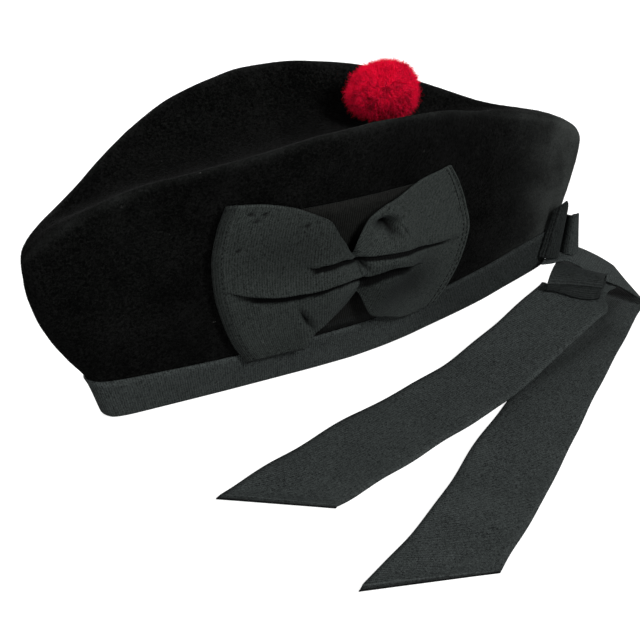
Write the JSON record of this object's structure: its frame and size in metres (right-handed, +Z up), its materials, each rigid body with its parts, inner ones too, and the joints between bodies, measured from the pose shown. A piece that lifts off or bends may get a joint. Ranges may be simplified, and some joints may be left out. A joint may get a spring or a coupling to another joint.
{
  "type": "glengarry bonnet",
  "caption": "Boat-shaped folded felt cap with a dished top, grosgrain band, side bow, wool pompom and ribbon tails that lie on the surface it stands on.",
  "frame": {"origin": "bottom centre of the whole part's box, on the surface that the band and the tails lie on", "axes": "+Y from the front of the cap to its back, +X to the wearer's left, where the bow and the tails are, +Z up"},
  "size_m": [0.234, 0.3272, 0.1512],
  "materials": {
    "felt": "milled wool felt, matt with a short nap",
    "grosgrain": "ribbed ribbon with a faint sheen",
    "wool": "cut wool pile"
  },
  "bodies": {
    "root": {"crown": "felt", "band": "grosgrain", "cockade_backing": "grosgrain", "cockade_bow": "grosgrain", "toorie": "wool", "back_loop": "grosgrain", "back_wrap": "grosgrain", "tail_left": "grosgrain", "tail_right": "grosgrain"}
  },
  "joints": []
}
